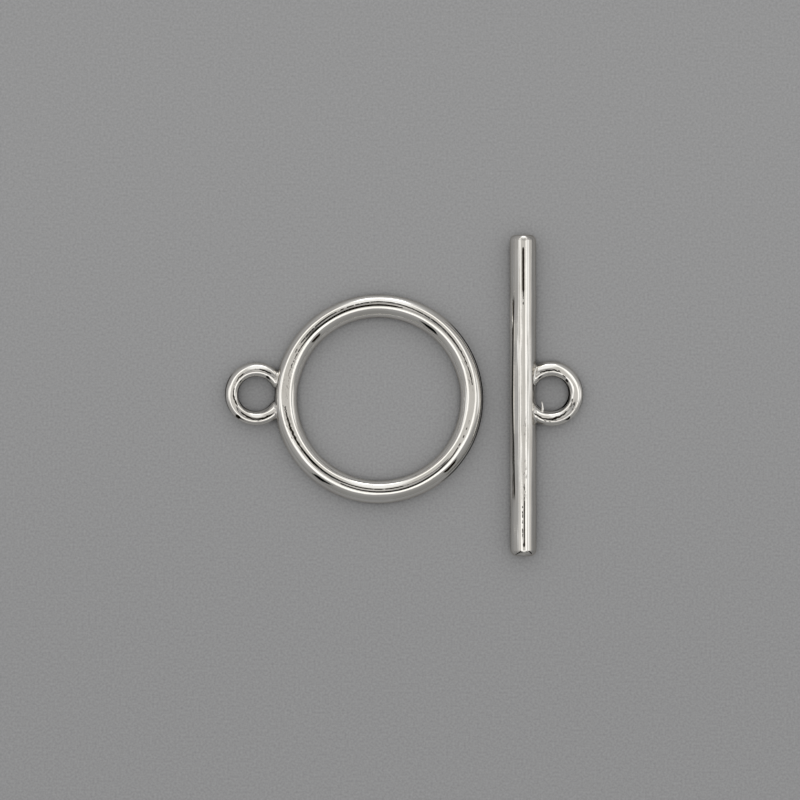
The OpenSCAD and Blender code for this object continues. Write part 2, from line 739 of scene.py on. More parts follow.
@dataclass
class Casting(ABC):
    """One cast piece of the clasp, shaped in millimetres about its own middle and then laid in the frame."""

    name: ClassVar[str]
    joint: ClassVar[Side]
    first_reflection: ClassVar[ReflectionLine]
    second_reflection: ClassVar[ReflectionLine]
    eye_reflection: ClassVar[ReflectionLine]
    eye_reflection_dots: ClassVar[ReflectionLine]
    eye_wire: float
    eye_mouth: float
    eye_first_loop: float
    eye_sides: int
    eye_lean_west: float
    # Angle, reach and depth of each pitted spot of the eye
    eye_rough: tuple[Triple, ...]
    flash: tuple[Lip, ...]
    eye_hole: float = 2.72
    fillet: float = 0.12
    lip_fillet: float = 0.04
    joint_cuts: int = 12
    joint_rings: int = 3
    relax: float = 0.5
    relax_rounds: int = 14
    skin_rounds: int = 3
    lip_cuts: int = 2
    lip_rounds: int = 2
    least_slope: float = 0.2
    ripple: Ripple = Ripple(0.005, 3.2, 5)
    # How dark the painted shade on the eye's inner wall is, by how far it faces up
    hole_line: Table = ((-0.05, 0.02, 0.24, 0.36), (0.0, 1.0, 1.0, 0.0))
    hole_shade: float = 0.9
    # How far up the skin has to face for pits and for the painted reflection lines
    crest_line: Pair = (0.975, 0.995)
    reflection_rise: Pair = (0.2, 0.5)

    @property
    def eye(self) -> Eye:
        """The eye of this casting.

        Returns:
            The eye, made from the casting's own sizes.
        """
        return Eye(
            hole=self.eye_hole,
            wire=self.eye_wire,
            centre=self.eye_centre,
            joint=self.joint,
            mouth=self.eye_mouth,
            first_loop=self.eye_first_loop,
            sides=self.eye_sides,
            lean_west=self.eye_lean_west,
        )

    @property
    @abstractmethod
    def eye_centre(self) -> Pair:
        """The middle of the eye's hole."""

    @abstractmethod
    def body_skin(self, points: np.ndarray) -> np.ndarray:
        """Measures the distance from the casting without its eye."""

    @abstractmethod
    def body_blank(self) -> bmesh.types.BMesh:
        """Makes the rough mesh of the casting without its eye."""

    @abstractmethod
    def under_joint(self, point: Vector, upper: bool) -> bool:
        """Tells whether a face's middle lies where one end of the eye's wire comes in."""

    @abstractmethod
    def lay(self) -> Matrix:
        """Gives the place of the casting in the frame, from millimetres to metres."""

    @abstractmethod
    def body_rough(self) -> tuple[RoughSpot, ...]:
        """The pitted spots of the casting without its eye."""

    @abstractmethod
    def body_drawn(self, points: np.ndarray) -> np.ndarray:
        """Gives places for patterns that run along the casting without its eye."""

    @abstractmethod
    def painted_shade_at(self, points: np.ndarray, rise: np.ndarray) -> np.ndarray:
        """Works out how dark the painted shade is: the thin dark lines and the darker flanks."""

    @abstractmethod
    def body_round(self, points: np.ndarray) -> tuple[np.ndarray, np.ndarray]:
        """Finds how far out of the body's line points lie, and their places along it."""

    def skin(self, points: np.ndarray) -> np.ndarray:
        """Measures the distance from the whole casting.

        Args:
            points: Places in the casting, one to a row.

        Returns:
            The distance of each point from the skin.
        """
        joined = smooth_union(self.body_skin(points), self.eye.skin(points), self.fillet)
        for lip in self.flash:
            joined = smooth_union(joined, lip.skin(points), self.lip_fillet)
        return joined - self.ripple.at(points)

    def settle(self, verts: list[bmesh.types.BMVert], rounds: int) -> None:
        """Moves vertices on to the skin.

        Args:
            verts: The vertices.
            rounds: How often the way to the skin is taken again.
        """
        points = np.array([vert.co[:] for vert in verts], dtype=float)
        for _ in range(rounds):
            rise = slopes(self.skin, points)
            steep = np.maximum((rise**2).sum(axis=1), self.least_slope)
            points -= rise * (self.skin(points) / steep)[:, None]
        for vert, point in zip(verts, points):
            vert.co = point

    def join_eye(self, bm: bmesh.types.BMesh) -> list[bmesh.types.BMVert]:
        """Opens the casting where the eye comes in and bridges the gaps.

        Args:
            bm: The rough mesh.

        Returns:
            The vertices round the two joints.
        """
        mouths = []
        for upper in (True, False):
            faces = [face for face in bm.faces if self.under_joint(face.calc_center_median(), upper)]
            inside = set(faces)
            rim = [
                edge
                for edge in {edge for face in faces for edge in face.edges}
                if any(face not in inside for face in edge.link_faces)
            ]
            bmesh.ops.delete(bm, geom=faces, context="FACES")
            mouths.append(rim)
        bridged = []
        for rim, end in zip(mouths, self.eye.add_to(bm)):
            if len(rim) != len(end):
                raise ValueError(f"{self.name}: {len(rim)} edges meet {len(end)}")
            made = bmesh.ops.bridge_loops(bm, edges=rim + end)
            bridged += [edge for edge in made["edges"] if edge not in rim and edge not in end]
        cut = bmesh.ops.subdivide_edges(bm, edges=bridged, cuts=self.joint_cuts, use_grid_fill=True)
        joint = {part for part in cut["geom_inner"] if isinstance(part, bmesh.types.BMVert)}
        for _ in range(self.joint_rings):
            joint |= {edge.other_vert(vert) for vert in joint for edge in vert.link_edges}
        return list(joint)

    def finish_blank(self, bm: bmesh.types.BMesh) -> None:
        """Adds what only one casting has, once the rest is settled."""

    def refine_lips(self, bm: bmesh.types.BMesh) -> None:
        """Gives the flanges a finer mesh.

        Args:
            bm: The joined mesh.
        """
        for lip in self.flash:
            near = [edge for edge in bm.edges if all(lip.covers(vert.co) for vert in edge.verts)]
            bmesh.ops.subdivide_edges(bm, edges=near, cuts=self.lip_cuts, use_grid_fill=True)

    def mark_reflections(self, mesh: bpy.types.Mesh, points: np.ndarray, facing: np.ndarray) -> None:
        """Notes on each vertex how far it lies from the painted reflection lines, and their strength and
        jaggedness.

        Args:
            mesh: The finished mesh.
            points: Its vertices in the casting, one to a row.
            facing: Their normals.
        """
        body_offsets, body_reflection_strength = reflection_marks(*self.body_round(points), (self.first_reflection, self.second_reflection))
        eye_offsets, eye_reflection_strength = reflection_marks(*self.eye.round(points), (self.eye_reflection, self.eye_reflection_dots))
        on_eye = (self.eye.skin(points) < self.body_skin(points))[:, None]
        offsets = np.where(on_eye, eye_offsets, body_offsets)
        reflection_strength = np.where(on_eye, eye_reflection_strength, body_reflection_strength)
        reflection_strength[:, :2] *= np.interp(facing[:, 2], self.reflection_rise, (0.0, 1.0))[:, None]
        note(mesh, REFLECTION_OFFSET, offsets)
        note(mesh, REFLECTION_STRENGTH, reflection_strength)

    def mark(self, mesh: bpy.types.Mesh, points: np.ndarray, facing: np.ndarray) -> None:
        """Notes on each vertex which way its wire runs, how pitted it is and how much painted shade it
        carries.

        Args:
            mesh: The finished mesh.
            points: Its vertices in the casting, one to a row.
            facing: Their normals.
        """
        rise = facing[:, 2]
        on_eye = self.eye.skin(points) < self.body_skin(points)
        note(mesh, DRAWN, np.where(on_eye[:, None], self.eye.drawn(points), self.body_drawn(points)))
        spots = (*self.body_rough(), *(self.eye.spot(*spot) for spot in self.eye_rough))
        rough = np.max([spot.at(points) for spot in spots], axis=0)
        note(mesh, ROUGH, rough * np.interp(rise, self.crest_line, (0.0, 1.0)))
        # Painted shade on the eye's inner wall, and along the sides that face the other piece
        in_hole = on_eye * (self.eye.round(points)[0] < 0.0)
        hole = self.hole_shade * (in_hole * np.interp(rise, *self.hole_line))
        note(mesh, PAINTED_SHADE, np.maximum(hole, self.painted_shade_at(points, rise)))

    def build(self, plate: bpy.types.Material) -> bpy.types.Object:
        """Builds the casting and puts it in the frame.

        Args:
            plate: The material of the plate.

        Returns:
            The finished piece.
        """
        bm = self.body_blank()
        joint = self.join_eye(bm)
        for _ in range(self.relax_rounds):
            bmesh.ops.smooth_vert(
                bm, verts=joint, factor=self.relax, use_axis_x=True, use_axis_y=True, use_axis_z=True
            )
            self.settle(joint, 1)
        self.settle(list(bm.verts), self.skin_rounds)
        self.refine_lips(bm)
        self.settle(list(bm.verts), self.lip_rounds)
        bmesh.ops.recalc_face_normals(bm, faces=bm.faces)
        on_skin = len(bm.verts)
        self.finish_blank(bm)
        bm.normal_update()
        points = np.array([vert.co[:] for vert in bm.verts], dtype=float)
        facing = np.array([vert.normal[:] for vert in bm.verts], dtype=float)
        facing[:on_skin] = slopes(self.skin, points[:on_skin])
        facing /= np.linalg.norm(facing, axis=1, keepdims=True)

        mesh = bpy.data.meshes.new(self.name)
        for face in bm.faces:
            face.smooth = True
        bm.to_mesh(mesh)
        bm.free()
        place = self.lay()
        mesh.transform(place)
        turned = facing @ np.array(place.to_3x3().normalized()).T
        mesh.normals_split_custom_set_from_vertices(turned.tolist())
        self.mark(mesh, points, facing)
        self.mark_reflections(mesh, points, facing)
        mesh.materials.append(plate)
        piece = bpy.data.objects.new(f"{self.name}_cast", mesh)
        bpy.context.scene.collection.objects.link(piece)
        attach(piece, BODY)
        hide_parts(self.name)
        return piece


@dataclass
class RingCasting(Casting):
    """The ring with its eye. The ring lies about its own centre, with the eye towards -X."""

    name: ClassVar[str] = "toggle_ring"
    joint: ClassVar[Side] = Side.RIGHT
    # The outer painted reflection line, by the angle round the ring
    first_reflection: ClassVar[ReflectionLine] = ReflectionLine(
        (
            (4.0, 0.1, 0.0, 0.4), (10.0, 0.1, 0.55, 0.4), (25.0, 0.12, 0.62, 0.4), (45.0, 0.15, 0.58, 0.3),
            (60.0, 0.175, 0.6, 0.3), (72.0, 0.24, 0.6, 0.2), (80.0, 0.3, 0.6, 0.1), (90.0, 0.32, 0.64, 0.1),
            (120.0, 0.26, 0.62, 0.1), (150.0, 0.17, 0.45, 0.2), (158.0, 0.15, 0.0, 0.3),
            (240.0, -0.06, 0.0, 0.2), (248.0, -0.05, 0.65, 0.15), (265.0, -0.03, 0.8, 0.1),
            (285.0, 0.0, 1.0, 0.1), (305.0, -0.015, 0.9, 0.1), (322.0, -0.01, 0.65, 0.1),
            (330.0, -0.04, 0.45, 0.1), (346.0, -0.04, 0.42, 0.1), (352.0, -0.04, 0.0, 0.1),
        )
    )
    # The inner painted reflection line
    second_reflection: ClassVar[ReflectionLine] = ReflectionLine(
        (
            (72.0, 0.07, 0.0, 0.1), (80.0, 0.055, 1.1, 0.1), (90.0, 0.07, 1.3, 0.1),
            (110.0, 0.055, 1.3, 0.1), (120.0, 0.02, 1.2, 0.1), (135.0, -0.01, 1.1, 0.1),
            (148.0, -0.01, 0.6, 0.1), (154.0, -0.01, 0.45, 0.4), (166.0, 0.0, 0.45, 0.6),
            (172.0, 0.01, 0.0, 0.6), (180.0, 0.02, 0.0, 0.8), (186.0, 0.02, 0.7, 0.8),
            (195.0, -0.03, 1.3, 0.8), (205.0, -0.08, 1.3, 0.6), (220.0, -0.155, 1.2, 0.3),
            (240.0, -0.2, 1.0, 0.2), (250.0, -0.225, 0.7, 0.1), (280.0, -0.225, 0.6, 0.1),
            (292.0, -0.215, 0.42, 0.1), (300.0, -0.21, 0.0, 0.1),
        )
    )
    # Painted dark reflections on the eye: separate spots, and a broken line round it
    eye_reflection_dots: ClassVar[ReflectionLine] = ReflectionLine.dots(
        (53.0, 60.0, -0.3, -0.3, 1.7), (231.0, 238.0, 0.35, 0.34, 2.0)
    )
    eye_reflection: ClassVar[ReflectionLine] = ReflectionLine(
        (
            (52.0, 0.03, 0.0, 0.3), (59.0, 0.03, 1.0, 0.4), (77.0, 0.03, 0.9, 0.3), (87.0, 0.04, 0.42, 0.1),
            (122.0, -0.05, 0.4, 0.1), (134.0, -0.09, 0.75, 0.4), (144.0, -0.1, 0.55, 0.4),
            (167.0, -0.13, 0.5, 0.4), (182.0, -0.16, 0.5, 0.4), (187.0, -0.17, 1.0, 0.4),
            (208.0, -0.21, 1.0, 0.4), (216.0, -0.21, 0.4, 0.2), (230.0, -0.08, 0.0, 0.2),
            (237.0, -0.05, 0.9, 0.4), (252.0, -0.01, 1.2, 0.5), (264.0, 0.065, 1.0, 0.5),
            (282.0, 0.08, 1.2, 0.5), (302.0, 0.08, 1.2, 0.6), (310.0, 0.13, 1.0, 0.5),
            (317.0, 0.13, 0.0, 0.5),
        )
    )
    outer: float = 16.0
    wire: float = 1.73
    turn: float = 2.4
    eye_neck: float = 0.06
    steps: int = 360
    sides: int = 72
    joint_angle: float = 8.0
    joint_half_angle: float = 6.0
    joint_half_height: float = 50.0
    eye_wire: float = 1.02
    eye_mouth: float = 31.0
    eye_first_loop: float = 52.0
    eye_sides: int = 64
    eye_lean_west: float = 0.08
    lean_north: float = -0.015
    flat_left: float = 0.034
    flat_right: float = 0.014
    flat_power: int = 4
    flash: tuple[Lip, ...] = (Lip((-7.95, 1.36, 0.0), turn), Lip((-7.87, -1.37, 0.0), turn))
    # First angle, last angle and depth of each pitted stretch
    rough_arcs: tuple[tuple[int, int, float], ...] = ((14, 34, 0.35), (156, 172, 0.3), (186, 214, 0.5))
    rough_step: int = 6
    rough_reach: float = 1.3
    eye_rough: tuple[Triple, ...] = (
        (62.0, 0.8, 0.4), (150.0, 0.8, 0.5), (275.0, 0.8, 0.5), (300.0, 0.8, 0.5),
    )
    # How dark the painted shade on the outer side is: by how far it faces up, by the angle from +X, and by
    # the angle from the eye
    side_band: Table = ((-0.05, 0.0, 0.38, 0.46), (0.0, 1.0, 1.0, 0.0))
    side_turn: Table = ((44.0, 52.0), (1.0, 0.0))
    eye_turn: Table = ((6.0, 8.0), (0.8, 0.0))

    @property
    def line(self) -> float:
        """Radius of the circle along which the ring's wire is bent."""
        return (self.outer - self.wire) / 2.0

    @property
    def eye_centre(self) -> Pair:
        """The middle of the hole in the eye on the ring's left side."""
        return -(self.outer / 2.0 + self.eye_neck + self.eye_hole / 2.0), 0.0

    def body_rough(self) -> tuple[RoughSpot, ...]:
        """Lists the pitted spots along the ring's wire.

        Returns:
            The spots.
        """
        spots = []
        for start, end, depth in self.rough_arcs:
            for angle in range(start, end, self.rough_step):
                turn = math.radians(angle + self.turn)
                place = (self.line * math.cos(turn), self.line * math.sin(turn))
                spots.append(RoughSpot(place, self.rough_reach, depth))
        return tuple(spots)

    def painted_shade_at(self, points: np.ndarray, rise: np.ndarray) -> np.ndarray:
        """Works out how dark the painted shade is on the ring's right side and in its eye, as thin lines.

        Args:
            points: Places in the casting, one to a row.
            rise: How far their normals point up, from -1 to 1.

        Returns:
            The darkness at each point, from 0 to 1.
        """
        turn = np.degrees(np.arctan2(points[:, 1], points[:, 0]))
        outside = np.hypot(points[:, 0], points[:, 1]) > self.line
        right = np.interp(np.abs(turn), *self.side_turn)
        in_eye = np.interp(180.0 - np.abs(turn), *self.eye_turn)
        return outside * np.interp(rise, *self.side_band) * (right + in_eye)

    def body_round(self, points: np.ndarray) -> tuple[np.ndarray, np.ndarray]:
        """Finds how far out of the ring's line points lie, and their angles round it in degrees."""
        turn = np.degrees(np.arctan2(points[:, 1], points[:, 0])) - self.turn
        return np.hypot(points[:, 0], points[:, 1]) - self.line, turn % 360.0

    def body_drawn(self, points: np.ndarray) -> np.ndarray:
        """Gives places for patterns that run round the ring."""
        out = np.hypot(points[:, 0], points[:, 1])
        return np.stack([out, points[:, 2], STRETCH * (points[:, 0] + points[:, 1])], axis=1)

    def body_skin(self, points: np.ndarray) -> np.ndarray:
        """Measures the distance from the ring's round wire.

        Args:
            points: Places in the casting, one to a row.

        Returns:
            The distance of each point from the wire's skin.
        """
        far = np.hypot(points[:, 0], points[:, 1])
        right, north = points[:, 0] / far, points[:, 1] / far
        lean = self.lean_north * north
        flat = np.where(right > 0.0, self.flat_right, self.flat_left) * right**self.flat_power
        return section(far - self.line, points[:, 2], self.wire / 2.0, lean, flat)

    def body_blank(self) -> bmesh.types.BMesh:
        """Spins the ring's round wire.

        Returns:
            The mesh of the ring alone.
        """
        bm = bmesh.new()
        loop = bmesh.ops.create_circle(bm, segments=self.sides, radius=self.wire / 2.0)["verts"]
        lay = Matrix.Translation((self.line, 0.0, 0.0)) @ Matrix.Rotation(math.pi / 2.0, 4, "X")
        bmesh.ops.transform(bm, matrix=lay, verts=loop)
        edges = list(bm.edges)
        bmesh.ops.spin(
            bm,
            geom=loop + edges,
            axis=(0.0, 0.0, 1.0),
            angle=2.0 * math.pi,
            steps=self.steps,
            use_merge=True,
        )
        return bm

    def under_joint(self, point: Vector, upper: bool) -> bool:
        """Tells whether a face's middle lies where one end of the eye's wire comes in.

        Args:
            point: The middle of the face.
            upper: True for the end on the +Y side.

        Returns:
            True where the ring is to be opened.
        """
        out = math.hypot(point.x, point.y) - self.line
        height = math.degrees(math.atan2(point.z, out))
        angle = math.degrees(math.atan2(point.y if upper else -point.y, -point.x))
        return (
            abs(height) < self.joint_half_height
            and abs(angle - self.joint_angle) < self.joint_half_angle
        )

    def lay(self) -> Matrix:
        """Gives the place of the ring, whose right side touches its solid's right side.

        Returns:
            The matrix from the casting's millimetres to the frame's metres.
        """
        low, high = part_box(self.name)
        middle = Vector((high.x - self.outer / 2.0 * MM, (low.y + high.y) / 2.0, self.wire / 2.0 * MM))
        turn = Matrix.Rotation(math.radians(-self.turn), 4, "Z")
        return Matrix.Translation(middle) @ turn @ Matrix.Scale(MM, 4)


@dataclass
class BarCasting(Casting):
    """The bar with its eye. The bar lies along Y about its own middle, with the eye towards +X."""

    name: ClassVar[str] = "toggle_bar"
    joint: ClassVar[Side] = Side.LEFT
    # The painted reflection line on the crest, by the place along the bar
    first_reflection: ClassVar[ReflectionLine] = ReflectionLine(
        (
            (-12.16, 0.57, 0.0, 0.0), (-12.1, 0.54, 1.1, 0.0), (-11.9, 0.31, 1.1, 0.0),
            (-11.84, 0.25, 0.0, 0.0), (-11.65, -0.09, 0.0, 0.0), (-11.55, -0.09, 1.6, 0.0),
            (-11.35, -0.08, 1.6, 0.0), (-11.2, -0.06, 0.75, 0.1), (-8.3, -0.05, 0.7, 0.1),
            (-7.4, -0.05, 0.42, 0.3), (-4.0, -0.05, 0.0, 0.3), (6.6, -0.12, 0.0, 0.1),
            (6.9, -0.12, 0.55, 0.1), (7.8, -0.12, 0.55, 0.1), (8.0, -0.12, 1.4, 0.1),
            (11.2, -0.12, 1.4, 0.1), (11.35, -0.12, 0.0, 0.1),
        )
    )
    # The painted reflection line to the left of it
    second_reflection: ClassVar[ReflectionLine] = ReflectionLine(
        (
            (-12.2, -0.68, 0.0, 0.0), (-12.15, -0.62, 1.1, 0.0), (-11.93, -0.34, 1.1, 0.0),
            (-11.86, -0.3, 0.0, 0.0), (-11.4, -0.17, 0.0, 0.0), (-11.2, -0.18, 0.5, 0.0),
            (-8.6, -0.19, 0.45, 0.0), (-7.8, -0.19, 0.0, 0.0),
        )
    )
    # Painted dark reflections on the eye: separate spots, and a broken line round it
    eye_reflection_dots: ClassVar[ReflectionLine] = ReflectionLine.dots(
        (37.0, 44.0, -0.39, -0.37, 1.2), (122.0, 128.0, -0.33, -0.33, 1.2), (300.0, 307.0, 0.38, 0.36, 1.2)
    )
    eye_reflection: ClassVar[ReflectionLine] = ReflectionLine(
        (
            (44.0, -0.28, 0.0, 0.3), (48.0, -0.28, 0.55, 0.3), (65.0, -0.26, 0.5, 0.3),
            (70.0, -0.14, 0.6, 0.8), (78.0, -0.13, 0.6, 0.8), (87.0, -0.11, 0.85, 0.8),
            (108.0, -0.1, 0.85, 0.8), (113.0, -0.07, 0.6, 0.6), (119.0, -0.06, 0.5, 0.6),
            (124.0, -0.06, 0.0, 0.5), (224.0, 0.12, 0.0, 0.5), (230.0, 0.12, 1.0, 0.8),
            (262.0, 0.09, 1.2, 1.0), (275.0, 0.0, 1.3, 1.0), (300.0, -0.11, 1.2, 0.7),
            (306.0, -0.12, 0.6, 0.6), (315.0, -0.14, 0.45, 0.8), (335.0, -0.22, 0.5, 0.5),
            (345.0, -0.28, 0.5, 0.3), (350.0, -0.28, 0.0, 0.3),
        )
    )
    length: float = 24.6
    thick: float = 2.0
    end_round: float = 0.46
    eye_sink: float = 0.2
    eye_shift: float = 0.14
    sides: int = 160
    step: float = 0.21
    joint_near: float = 0.6
    joint_far: float = 2.28
    joint_half_height: float = 45.0
    crest: float = 0.024
    crest_at_ends: float = 0.009
    crest_reach: Pair = (3.0, 7.0)
    streaks: Streaks = Streaks(
        height=0.002, count=11.0, sway=1.3, sway_rate=0.4, sway_start=0.0, start=0.8
    )
    hairlines: Streaks = Streaks(
        height=0.0015, count=37.0, sway=0.4, sway_rate=0.3, sway_start=2.0, start=math.pi / 2.0
    )
    turn: float = 0.08
    end_cuts: int = 8
    eye_wire: float = 1.1
    eye_mouth: float = 20.0
    eye_first_loop: float = 66.0
    eye_sides: int = 96
    eye_lean_west: float = 0.0
    flash: tuple[Lip, ...] = (Lip((1.0, 1.8, 0.0), -8.0), Lip((0.98, -1.53, 0.0), 10.0, across=1.15))
    rough: tuple[RoughSpot, ...] = (RoughSpot((0.0, -2.6), 1.2, 0.3), RoughSpot((0.0, -6.5), 2.0, 0.6))
    eye_rough: tuple[Triple, ...] = (
        (240.0, 0.9, 1.0), (262.0, 0.9, 1.0), (284.0, 0.9, 1.0),
        (40.0, 0.8, 0.7), (95.0, 1.1, 0.8), (330.0, 0.7, 0.6),
    )
    # The painted shade line on the left side: its angle from straight up, its width and its two ends
    side_line: Table = (
        (-8.2, -6.5, -4.2, -0.5, 3.5, 5.8, 7.3),
        (52.5, 55.0, 57.2, 64.5, 62.3, 58.6, 56.0),
    )
    side_fade: Table = ((3.2, 5.2), (1.0, 0.0))
    side_middle: float = -0.2
    side_reach: Table = ((7.3, 8.0), (1.0, 0.0))
    # How dark the painted shade on the flanks is by how far they face up, and how near the eye the right one
    # starts
    dull_tone_and_flank_shade: float = 0.16
    flank_shade_left: Table = ((0.66, 0.71), (1.0, 0.0))
    flank_shade_right: Table = ((0.63, 0.67, 0.72, 0.77), (1.0, 2.6, 2.6, 0.0))
    flank_shade_from: float = 2.4
    # How dark the painted shade is on the bar's side where it closes the eye
    eye_band: Table = ((0.0, 0.05, 0.38, 0.48), (0.0, 1.0, 1.0, 0.0))
    eye_reach: Table = ((1.0, 1.3), (1.0, 0.0))
    burr_root: Triple = (1.457, -1.19, 0.37)
    burr_length: float = 0.7
    burr_lean: Pair = (0.06, 0.05)
    burr_curl: float = 0.12
    burr_rings: int = 7
    burr_flare: float = 1.5
    burr_taper: float = 0.88
    burr_tip: float = 0.6
    ripple: Ripple = Ripple(0.005, 3.6, 11)

    @property
    def eye_centre(self) -> Pair:
        """The middle of the hole in the eye on the bar's right side."""
        return self.thick / 2.0 - self.eye_sink + self.eye_hole / 2.0, self.eye_shift

    def body_rough(self) -> tuple[RoughSpot, ...]:
        """The pitted spots on the bar."""
        return self.rough

    def painted_shade_at(self, points: np.ndarray, rise: np.ndarray) -> np.ndarray:
        """Works out how dark the painted shade is: the thin lines on the bar's left side and in its eye, and
        its darker flanks.

        Args:
            points: Places in the casting, one to a row.
            rise: How far their normals point up, from -1 to 1.

        Returns:
            The darkness at each point, from 0 to 1.
        """
        across, along = points[:, 0], points[:, 1]
        turn = np.degrees(np.arctan2(-across, points[:, 2]))
        off_line = np.abs(turn - np.interp(along, *self.side_line))
        near_eye = np.interp(np.abs(along - self.side_middle), *self.side_reach)
        line = np.interp(off_line, *self.side_fade) * near_eye
        in_eye = (across > 0.0) * np.interp(rise, *self.eye_band)
        in_eye = in_eye * np.interp(np.abs(along - self.eye_shift), *self.eye_reach)
        left = (across < 0.0) * np.interp(rise, *self.flank_shade_left) * (1.0 - near_eye)
        right = (across > 0.0) * np.interp(rise, *self.flank_shade_right) * (np.abs(along) > self.flank_shade_from)
        return np.maximum(line + in_eye, self.dull_tone_and_flank_shade * np.maximum(left, right))

    def body_round(self, points: np.ndarray) -> tuple[np.ndarray, np.ndarray]:
        """Finds how far aside of the bar's line points lie, and their places along it."""
        return points[:, 0], points[:, 1]

    def body_drawn(self, points: np.ndarray) -> np.ndarray:
        """Gives places for patterns that run along the bar."""
        return np.stack([points[:, 0], points[:, 2], STRETCH * points[:, 1]], axis=1)

    def body_skin(self, points: np.ndarray) -> np.ndarray:
        """Measures the distance from the round-ended bar.

        Args:
            points: Places in the casting, one to a row.

        Returns:
            The distance of each point from the bar's skin.
        """
        core = self.thick / 2.0 - self.end_round
        turn = np.arctan2(points[:, 0], points[:, 2])
        sharper = self.crest_at_ends * np.interp(np.abs(points[:, 1]), self.crest_reach, (0.0, 1.0))
        crest = (self.crest + sharper) * (np.cos(CORNERS * turn) - 1.0)
        out = np.hypot(points[:, 0], points[:, 2]) - core - crest
        for drawn in (self.streaks, self.hairlines):
            out = out - drawn.at(turn, points[:, 1])
        past = np.abs(points[:, 1]) - (self.length / 2.0 - self.end_round)
        outside = np.hypot(np.maximum(out, 0.0), np.maximum(past, 0.0))
        return outside + np.minimum(np.maximum(out, past), 0.0) - self.end_round

    def body_blank(self) -> bmesh.types.BMesh:
        """Spins the bar's half outline about its own line.

        Returns:
            The mesh of the bar alone.
        """
        bm = bmesh.new()
        half = self.length / 2.0
        core, shoulder = self.thick / 2.0 - self.end_round, half - self.end_round
        outline = [(0.0, half), (core / 2.0, half)]
        for index in range(self.end_cuts + 1):
            angle = math.radians(90.0 - 90.0 * index / self.end_cuts)
            out, up = self.end_round * math.cos(angle), self.end_round * math.sin(angle)
            outline.append((core + out, shoulder + up))
        corners = outline + [(x, -y) for x, y in reversed(outline)]
        verts = [bm.verts.new((x, y, 0.0)) for x, y in corners]
        edges = [bm.edges.new(pair) for pair in zip(verts, verts[1:])]
        side = edges[len(outline) - 1]
        cuts = round(side.calc_length() / self.step) - 1
        bmesh.ops.subdivide_edges(bm, edges=[side], cuts=cuts)
        bmesh.ops.spin(
            bm,
            geom=list(bm.verts) + list(bm.edges),
            axis=(0.0, 1.0, 0.0),
            angle=2.0 * math.pi,
            steps=self.sides,
            use_merge=True,
        )
        bmesh.ops.remove_doubles(bm, verts=bm.verts, dist=WELD)
        return bm

    def under_joint(self, point: Vector, upper: bool) -> bool:
        """Tells whether a face's middle lies where one end of the eye's wire comes in.

        Args:
            point: The middle of the face.
            upper: True for the end on the +Y side.

        Returns:
            True where the bar is to be opened.
        """
        along = (point.y - self.eye_shift) * (1.0 if upper else -1.0)
        height = math.degrees(math.atan2(point.z, point.x))
        return self.joint_near < along < self.joint_far and abs(height) < self.joint_half_height

    def finish_blank(self, bm: bmesh.types.BMesh) -> None:
        """Draws the burr out of the eye's wire, a thin thorn that points into the hole.

        Args:
            bm: The settled mesh.
        """
        root = Vector(self.burr_root)
        start = min(bm.verts, key=lambda vert: (vert.co - root).length)
        faces = list(start.link_faces)
        tapers = [self.burr_flare] + [self.burr_taper] * (self.burr_rings - 2) + [self.burr_tip]
        lean, rise = self.burr_lean
        for ring, taper in enumerate(tapers, start=1):
            made = bmesh.ops.extrude_face_region(bm, geom=faces)
            bmesh.ops.delete(bm, geom=faces, context="FACES_ONLY")
            faces = [part for part in made["geom"] if isinstance(part, bmesh.types.BMFace)]
            verts = [part for part in made["geom"] if isinstance(part, bmesh.types.BMVert)]
            share = ring / self.burr_rings
            aside = lean * share - self.burr_curl * share**2
            middle = root + Vector((aside, self.burr_length * share, rise * share))
            at = sum((vert.co for vert in verts), Vector()) / len(verts)
            for vert in verts:
                vert.co = middle + (vert.co - at) * taper

    def lay(self) -> Matrix:
        """Gives the place of the bar, rolled until its eye touches the floor.

        Returns:
            The matrix from the casting's millimetres to the frame's metres.
        """
        low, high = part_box(self.name)
        radius = self.thick / 2.0
        middle = Vector((low.x + radius * MM, (low.y + high.y) / 2.0, radius * MM))
        reach = self.eye.centre[0] + self.eye.line
        roll = math.asin((radius - self.eye.wire / 2.0) / reach)
        turn = Matrix.Rotation(math.radians(self.turn), 4, "Z")
        return Matrix.Translation(middle) @ turn @ Matrix.Rotation(roll, 4, "Y") @ Matrix.Scale(MM, 4)


# The studio


@dataclass(frozen=True)
class Oval:
    """One soft-edged oval of the tent. Places are degrees from straight up, east and north."""

    colour: Colour
    middle: Pair
    radii: Pair
    soft: float
    turn: float = 0.0
    line: float = 0.0
    power: float = 2.0
    slim_soft: ClassVar[float] = 0.12
    slim_power: ClassVar[float] = 4.0

    @classmethod
    def between(cls, colour: Colour, start: Pair, end: Pair, wide: float) -> "Oval":
        """Makes a slim oval from one place to another.

        Args:
            colour: Its colour.
            start: Its first tip.
            end: Its last tip.
            wide: Half its width.

        Returns:
            The oval.
        """
        east, north = end[0] - start[0], end[1] - start[1]
        middle = ((start[0] + end[0]) / 2.0, (start[1] + end[1]) / 2.0)
        turn = math.degrees(math.atan2(north, east))
        radii = (math.hypot(east, north) / 2.0, wide)
        return cls(colour, middle, radii, cls.slim_soft, turn, power=cls.slim_power)


WHITE: Colour = (1.15, 1.14, 1.11)
PALE: Colour = (0.95, 0.95, 0.94)
CREAM: Colour = (0.56, 0.545, 0.52)
HAZE: Colour = (0.36, 0.355, 0.35)
DUSK: Colour = (0.12, 0.118, 0.115)
BLACK: Colour = (0.003, 0.003, 0.003)
BROWN: Colour = (0.006, 0.003, 0.001)
GLARE: Colour = (4.0, 4.0, 3.95)


